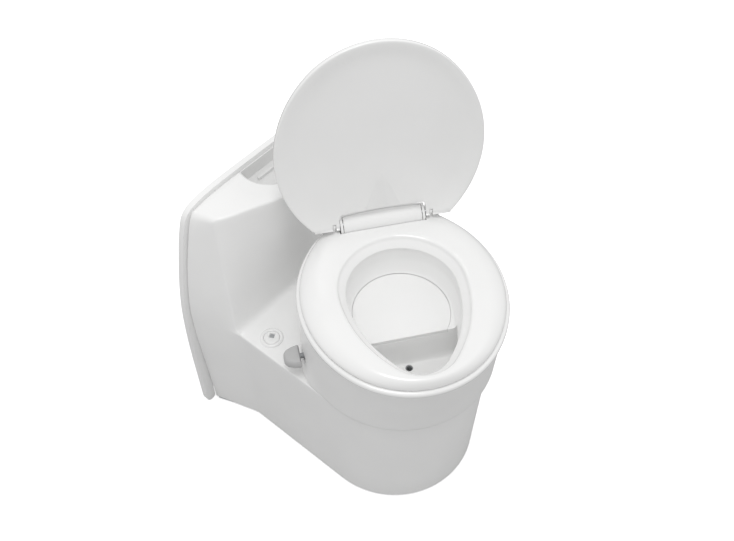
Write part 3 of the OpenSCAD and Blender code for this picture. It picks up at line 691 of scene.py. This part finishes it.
def build_wall_frame():
    """Flat frame on the wall, open for the waste tank below and with a window above."""
    half = FRAME_EDGE + FRAME_FOOT
    mirrored = [(-x, z) for x, z in half[1:-1]][::-1]
    frame_panel = panel(half + mirrored, REAR_Y + 0.2, REAR_Y + 12, "rear_frame")
    window = []
    for cx, cz, start in ((112, 480, 0), (-112, 480, 90), (-112, 310, 180), (112, 310, 270)):
        for k in range(9):
            a = math.radians(start + 90 * k / 8)
            window.append((cx + 20 * math.cos(a), cz + 20 * math.sin(a)))
    cutters = [panel(window, 340, 370)]
    for z in (100, 420):
        for side in (-1, 1):
            cutters.append(panel(circle_outline(side * 174, z, 3.3, 32), 340, 370))
    carve(frame_panel, cutters)
    soften(frame_panel, 3.0, 40, 4)
    finish_piece(frame_panel, "base", WHITE, ["wall_frame"], 40)


# ------------------------------------------------------------------ pedestal and console
EDGE_TOP = 557.0  # height of the console's top edge
EDGE_X, EDGE_Y = 141.0, 307.0  # its front corner
CORNER_X = 153.5  # its rear corner, at the groove
GROOVE_Y = 346.5  # groove between the console and the wall frame
GROOVE_INSET = 6.5
CREASE_Y = 246.5  # where deck and console meet
CROWN = 3.5  # how far the top dips at the middle of its front edge
TOP_FRONT = [
    (0, 252.5), (15, 253.8), (28, 257), (44.5, 262.5), (56.4, 267.5), (74, 274.5), (92, 282), (110, 289),
    (124.5, 296), (135, 302), (EDGE_X, EDGE_Y),
]  # the top's front edge in plan, from the middle outwards


def ridge_x(z):
    return lerp(174.8, EDGE_X, (z - DECK_Z) / (EDGE_TOP - DECK_Z))


def console_front(u, z):
    """Front face of the console: straight at the deck, swept back at the top; u is -1 to 1."""
    t = (z - DECK_Z) / (EDGE_TOP - DECK_Z)
    low = 257.0 - 1.5 * (1 - u * u)
    fillet = table([(302, -10.5), (306, -4.2), (311, -1.4), (320, 0)], z)
    return lerp(low, table(TOP_FRONT, abs(u) * EDGE_X), t) + fillet * (1 - t)


def ledge_half_width(z):
    """Half width of the pedestal's round front."""
    return 168.0 + 7.0 * min(z, DECK_Z) / DECK_Z


def rear_half_width(z):
    if z <= DECK_Z:
        return lerp(197.0, 208.0, z / DECK_Z)
    return frame_half_width(z + 0.4 * GROOVE_INSET) - GROOVE_INSET


def rear_top(x):
    """Height of the console's rear edge, a little inside the top of the wall frame."""
    heights = [
        (0, 567.5), (70, 567.2), (95, 566.3), (119, 564.0), (138, 561.0), (148, 558.8),
        (CORNER_X, EDGE_TOP),
    ]
    return table(heights, abs(x))


def flank(z, t):
    """Flank at height z: t runs from the ridge to the groove; the bend at the deck is eased off there."""
    reach = 70.0 * min(1.0, t / 0.3)
    x_sum, y_sum = 0.0, 0.0
    for k in range(9):
        h = z + reach * (k - 4) / 4.0 * min(1.0, (EDGE_TOP - z) / 60.0, z / 60.0)
        if h <= DECK_Z:
            x0, y0 = ledge_half_width(h), CREASE_Y
        else:
            x0, y0 = ridge_x(h), console_front(1.0, h)
        x1 = rear_half_width(h) if h < EDGE_TOP else CORNER_X
        x_sum += lerp(x0, x1, t) / 9
        y_sum += lerp(y0, GROOVE_Y, t) / 9
    return x_sum, y_sum


def housing_skin():
    """Outer skin of pedestal and console: verts, faces and the vertex numbers round the deck."""
    verts, faces, index = [], [], {}

    def vert(p):
        key = tuple(round(c, 3) for c in p)
        if key not in index:
            index[key] = len(verts)
            verts.append(p)
        return index[key]

    def grid(rows):
        ids = [[vert(p) for p in row] for row in rows]
        for r in range(len(ids) - 1):
            for i in range(len(ids[0]) - 1):
                quad = [ids[r][i], ids[r][i + 1], ids[r + 1][i + 1], ids[r + 1][i]]
                clean = [q for k, q in enumerate(quad) if q != quad[k - 1]]
                if len(clean) > 2:
                    faces.append(tuple(clean))

    low = [5, 8, 60, 120, 180, 240, 285, DECK_Z]
    straight = [30, 60, 100, 140, 180, 220, 240, CREASE_Y]
    wrap = []
    for z in low:
        w = ledge_half_width(z)
        row = [(-w, y, z) for y in straight[::-1]]
        for k in range(73):
            a = math.pi + math.pi * k / 72
            row.append((w * math.cos(a), ARC_Y + w * math.sin(a), z))
        row += [(w, y, z) for y in straight]
        wrap.append(row)
    grid(wrap)
    high = [306, 311, 320, 345, 370, 400, 430, 460, 490, 512, 530, 544, EDGE_TOP]
    steps = [0, 0.2, 0.35, 0.5, 0.62, 0.75, 0.88, 1.0]
    sides = []
    for s in (-1, 1):
        rows = []
        for z in low + high:
            bends = [flank(z, t) for t in steps]
            rows.append([(s * x, y, z) for x, y in bends])
        grid(rows)
        sides.append(rows)
    us = [-1.0] + [0.9 * (-1 + k / 21.0) for k in range(43)] + [1.0]
    front = [[(u * ledge_half_width(DECK_Z), CREASE_Y, DECK_Z) for u in us]]
    for z in high:
        dip = CROWN if z == EDGE_TOP else 0.0
        sag = [dip * (1 - smooth(abs(u) / 0.6)) for u in us]
        front.append([(u * ridge_x(z), console_front(u, z), z - d) for u, d in zip(us, sag)])
    grid(front)
    front_edge = front[-1]
    rear_edge = [(u * CORNER_X, GROOVE_Y, rear_top(u * CORNER_X)) for u in us]
    top = []
    for s in steps:
        top.append([tuple(lerp(a[i], b[i], s) for i in range(3)) for a, b in zip(front_edge, rear_edge)])
    grid(top)
    left, right = ([row[-1] for row in rows] for rows in sides)
    rim = left + rear_edge[1:-1] + right[::-1]
    neck = []
    for i, p in enumerate(rim):
        a, b = rim[max(0, i - 1)], rim[min(len(rim) - 1, i + 1)]
        dx, dz = b[0] - a[0], b[2] - a[2]
        d = math.hypot(dx, dz)
        neck.append((dz / d, -dx / d))
    lip = []
    for off, back in ((0, 0), (0.35, 0.85), (1.2, 1.25), (2.6, 1.3), (2.6, REAR_Y - GROOVE_Y)):
        lip.append([(x + nx * off, y + back, z + nz * off) for (x, y, z), (nx, nz) in zip(rim, neck)])
    grid(lip)
    outer = [vert(p) for p in wrap[-1]] + [vert(p) for p in front[0][1:-1][::-1]]
    return verts, faces, outer


def on_deck_rim(p):
    if p.y > ARC_Y:
        return abs(abs(p.x) - 175.0) < 0.05
    return abs(math.hypot(p.x, p.y - ARC_Y) - 175.0) < 0.05


def on_top_side(p):
    slant = (CORNER_X - EDGE_X) / (GROOVE_Y - EDGE_Y)
    return abs(abs(p.x) - EDGE_X - (p.y - EDGE_Y) * slant) < 0.05


def edge_weight(a, b):
    """Share of the widest rounding that the edge from a to b gets."""
    mid = (a + b) / 2
    if mid.y < GROOVE_Y - 0.1 and all(abs(p.z - EDGE_TOP) < 0.1 and on_top_side(p) for p in (a, b)):
        return 0.7
    if abs(a.z - b.z) < 5 and mid.z > EDGE_TOP - 4 and mid.y < EDGE_Y and abs(mid.x) < EDGE_X:
        return 0.33 if abs(mid.y - table(TOP_FRONT, abs(mid.x))) < 0.8 else 0.0
    on_ridge = abs(abs(mid.x) - ridge_x(mid.z)) < 0.05
    if mid.z > DECK_Z and abs(a.z - b.z) > 2 and on_ridge and mid.y < EDGE_Y:
        return 0.3
    if abs(mid.y - CREASE_Y) > 0.5 and all(abs(p.z - DECK_Z) < 0.01 and on_deck_rim(p) for p in (a, b)):
        return 0.25
    return 0.0


def build_housing():
    """Pedestal and console as one thin moulding, open below the bowl and behind."""
    verts, faces, outer = housing_skin()
    n = len(outer)
    hole = []
    for i in outer:
        a = math.atan2(verts[i][1], verts[i][0])
        hole.append((150.0 * math.cos(a), 150.0 * math.sin(a), DECK_Z))
    base = len(verts)
    verts = verts + hole
    for k in range(n):
        j = (k + 1) % n
        faces.append((outer[k], outer[j], base + j, base + k))
    skin = make("body_shell", verts, faces)
    mesh = skin.data
    weight = mesh.attributes.new("bevel_weight_edge", "FLOAT", "EDGE")
    for edge in mesh.edges:
        a, b = (mesh.vertices[v].co * 1000 for v in edge.vertices)
        weight.data[edge.index].value = edge_weight(a, b)
    mod = skin.modifiers.new("edge", "BEVEL")
    mod.limit_method = "WEIGHT"
    mod.width = 0.012
    mod.segments = 4
    mod.use_clamp_overlap = False
    bake(skin)
    thick = skin.modifiers.new("wall", "SOLIDIFY")
    thick.thickness = 0.0042
    thick.offset = -1
    thick.use_even_offset = False
    bake(skin)
    carve(skin, [
        prism(circle_outline(BUTTON_X, BUTTON_Y, 19.2), 290, 320),
        prism(recess_plan(0.0), 540, 590),
    ])
    finish_piece(skin, "base", WHITE, ["housing"], 40)


def recess_plan(inset):
    """Round-fronted recess in the console's top, from above."""
    r = 54.0 - inset
    spill = math.asin(14.0 / 54.0)
    turns = [spill - (math.pi + 2 * spill) * k / 40 for k in range(41)]
    return [(16 + r * math.cos(a), 332 + r * math.sin(a)) for a in turns[::-1]]


def top_height(x, y):
    """Height of the console's top at a plan point."""
    front = table(TOP_FRONT, abs(x))
    s = (y - front) / (GROOVE_Y - front)
    return lerp(EDGE_TOP - CROWN, rear_top(x), min(1.0, max(0.0, s)))


def build_recess():
    """Dished tray in the console's top with a raised lip and a plain ridge."""
    rings = [[(x, y, 541.0) for x, y in recess_plan(-0.6)]]
    for inset, dz in ((-0.6, 0.2), (0.3, 0.9), (1.3, 0.9), (2.2, -0.6), (3.6, -5.0), (5.6, -11.0)):
        rings.append([(x, y, max(544.0, top_height(x, y) + dz)) for x, y in recess_plan(inset)])
    rings.append([(x, y, 543.4) for x, y in recess_plan(13.0)])
    rings.append([(x, y, 542.8) for x, y in recess_plan(19.0)])
    tray = make("top_tray", *stack(rings))
    carve(tray, [box(-12, 33, 324.0, 329.0, 542.0, 549.5)], "UNION")
    soften(tray, 0.8, 50, 2)
    # the tray's dimmed white is painted shade of the recess
    finish_piece(tray, "base", TRAY_PAINTED_SHADE, (), 35)


def build_button():
    """Flush button: a ring in the deck, the cap and a plain square let into it."""

    def disc(r, z):
        return [(x, y, z) for x, y in circle_outline(BUTTON_X, BUTTON_Y, r)]

    rows = [
        (19.0, 298), (19.0, 301.9), (22.2, 302.1), (22.0, 303.8), (20.8, 305.0), (19.0, 305.6),
        (17.0, 305.5), (15.7, 304.9), (15.25, 303.6), (15.25, 298),
    ]
    bezel = make("button_ring", *around([disc(r, z) for r, z in rows]))
    finish_piece(bezel, "base", GLOSS, ["button_bezel"], 45)
    rows = [(15.1, 299.0), (15.1, 304.2), (14.7, 305.0), (13.4, 305.6), (11.5, 305.8)]
    cap = make("button_cap", *stack([disc(r, z) for r, z in rows]))
    mid_x, mid_y, tilt = BUTTON_X + 3, BUTTON_Y + 2, math.radians(28)

    def square(half):
        corners = ((-half, -half), (half, -half), (half, half), (-half, half))
        c, s = math.cos(tilt), math.sin(tilt)
        return [(mid_x + px * c - py * s, mid_y + px * s + py * c) for px, py in corners]

    carve(cap, [prism(square(5), 302.6, 310)])
    soften(cap, 0.5, 50, 2)
    finish_piece(cap, "button", GLOSS, ["flush_button"], 45)
    pad = square(4.1)
    mark = prism(pad, 302.0, 304.0, world, "button_mark")
    soften(mark, 0.4, 50, 2)
    finish_piece(mark, "button", GREY, (), 45)


# ------------------------------------------------------------------ springs
def coil(name, cx, cy, z0, z1, radius, wire, turns, body, node):
    """Wound spring standing on z0 and reaching z1."""
    rings = []
    steps = int(turns * 28)
    for k in range(steps + 1):
        a = 2 * math.pi * turns * k / steps
        lift = min(1.0, max(0.0, (turns * k / steps - 0.75) / (turns - 1.5)))
        z = lerp(z0 + wire, z1 - wire, lift)
        ring = []
        for i in range(8):
            b = 2 * math.pi * i / 8
            r = radius + wire * math.cos(b)
            ring.append((cx + r * math.cos(a), cy + r * math.sin(a), z + wire * math.sin(b)))
        rings.append(ring)
    spring = make(name, *stack(rings))
    finish_piece(spring, body, STEEL, [node], 60)
    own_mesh(spring)


def build_springs():
    low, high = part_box("vent_spring")
    cx, cy = (low[0] + high[0]) * 500, (low[1] + high[1]) * 500
    coil("vent_coil", cx, cy, low[2] * 1000, high[2] * 1000 - 0.1, 8.4, 0.28, 2.5,
         "cassette", "vent_spring")
    low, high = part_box("button_spring")
    cx, cy = (low[0] + high[0]) * 500, (low[1] + high[1]) * 500
    coil("button_coil", cx, cy, low[2] * 1000, 298.8, 6.2, 0.7, 7.5,
         "base", "button_spring")


dress_nodes()
build_lid()
build_seat()
build_rim()
build_bowl()
build_blade()
build_knob()
build_skirt()
build_hinge_cover()
build_wall_frame()
build_housing()
build_recess()
build_button()
build_springs()


# ------------------------------------------------------------------ floor, light and camera
def build_floor():
    """Wide pale floor: bright to the camera, duller as a reflector of light onto the object."""
    far = 60000
    corners = [(-far, -far, -0.5), (far, -far, -0.5), (far, far, -0.5), (-far, far, -0.5)]
    floor = make("floor", corners, [(0, 1, 2, 3)])
    mat = bpy.data.materials.new("floor_white")
    mat.use_nodes = True
    tree = mat.node_tree
    bsdf = tree.nodes["Principled BSDF"]
    noise = tree.nodes.new("ShaderNodeTexNoise")
    noise.inputs["Scale"].default_value = 0.8
    ramp = tree.nodes.new("ShaderNodeValToRGB")
    ramp.color_ramp.elements[0].color = (0.90, 0.90, 0.90, 1)
    ramp.color_ramp.elements[1].color = (0.93, 0.93, 0.93, 1)
    tree.links.new(noise.outputs["Fac"], ramp.inputs["Fac"])
    tree.links.new(ramp.outputs["Color"], bsdf.inputs["Base Color"])
    bsdf.inputs["Roughness"].default_value = 0.9
    bsdf.inputs["Emission Color"].default_value = (1, 1, 1, 1)
    bsdf.inputs["Emission Strength"].default_value = 0.5
    floor.data.materials.append(mat)
    dull = tree.nodes.new("ShaderNodeBsdfDiffuse")
    dull.inputs["Color"].default_value = (0.53, 0.53, 0.53, 1)
    path = tree.nodes.new("ShaderNodeLightPath")
    blend = tree.nodes.new("ShaderNodeMixShader")
    tree.links.new(path.outputs["Is Camera Ray"], blend.inputs["Fac"])
    tree.links.new(dull.outputs["BSDF"], blend.inputs[1])
    tree.links.new(bsdf.outputs["BSDF"], blend.inputs[2])
    tree.links.new(blend.outputs["Shader"], tree.nodes["Material Output"].inputs["Surface"])


def build_sky():
    """White backdrop for the camera and an even, slightly weaker light on the object."""
    scene = bpy.context.scene
    scene.view_settings.view_transform = "Standard"
    scene.view_settings.look = "None"
    studio = bpy.data.worlds.new("studio")
    scene.world = studio
    studio.use_nodes = True
    sky = studio.node_tree
    background = sky.nodes["Background"]
    path = sky.nodes.new("ShaderNodeLightPath")
    seen = sky.nodes.new("ShaderNodeMix")
    seen.inputs["A"].default_value = 0.765
    seen.inputs["B"].default_value = 1.0
    sky.links.new(path.outputs["Is Camera Ray"], seen.inputs["Factor"])
    sky.links.new(seen.outputs["Result"], background.inputs["Strength"])
    background.inputs["Color"].default_value = (1.0, 1.0, 1.0, 1)


def build_lights():
    for name, place, size, power in (
        ("key", (-0.5, -0.1, 2.9), 1.1, 17.0),
        ("fill", (0.9, -0.9, 2.4), 1.8, 2.0),
    ):
        data = bpy.data.lights.new(name, "AREA")
        data.shape = "DISK"
        data.size = size
        data.energy = power
        light = bpy.data.objects.new(name, data)
        bpy.context.scene.collection.objects.link(light)
        light.location = place
        light.rotation_euler = (Vector((0, 0.05, 0.4)) - Vector(place)).to_track_quat("-Z", "Y").to_euler()


def build_camera():
    """Camera in front on the left, looking steeply down, with a slight roll."""
    azimuth, elevation, roll = math.radians(-51.4), math.radians(51.0), math.radians(0.9)
    flat = math.cos(elevation)
    back = Vector((math.sin(azimuth) * flat, -math.cos(azimuth) * flat, math.sin(elevation)))
    level = Vector((math.cos(azimuth), math.sin(azimuth), 0))
    steep = level.cross(-back)
    right = level * math.cos(roll) + steep * math.sin(roll)
    up = -level * math.sin(roll) + steep * math.cos(roll)
    data = bpy.data.cameras.new("camera")
    data.sensor_width = 36.0
    data.lens = 42.37
    data.shift_x = -0.0143
    data.shift_y = -0.0022
    camera = bpy.data.objects.new("camera", data)
    bpy.context.scene.collection.objects.link(camera)
    place = Vector((-0.742, -0.5359, 1.6615))
    camera.matrix_world = Matrix((
        (right.x, up.x, back.x, place.x),
        (right.y, up.y, back.y, place.y),
        (right.z, up.z, back.z, place.z),
        (0, 0, 0, 1),
    ))
    bpy.context.scene.camera = camera


build_floor()
build_sky()
build_lights()
build_camera()
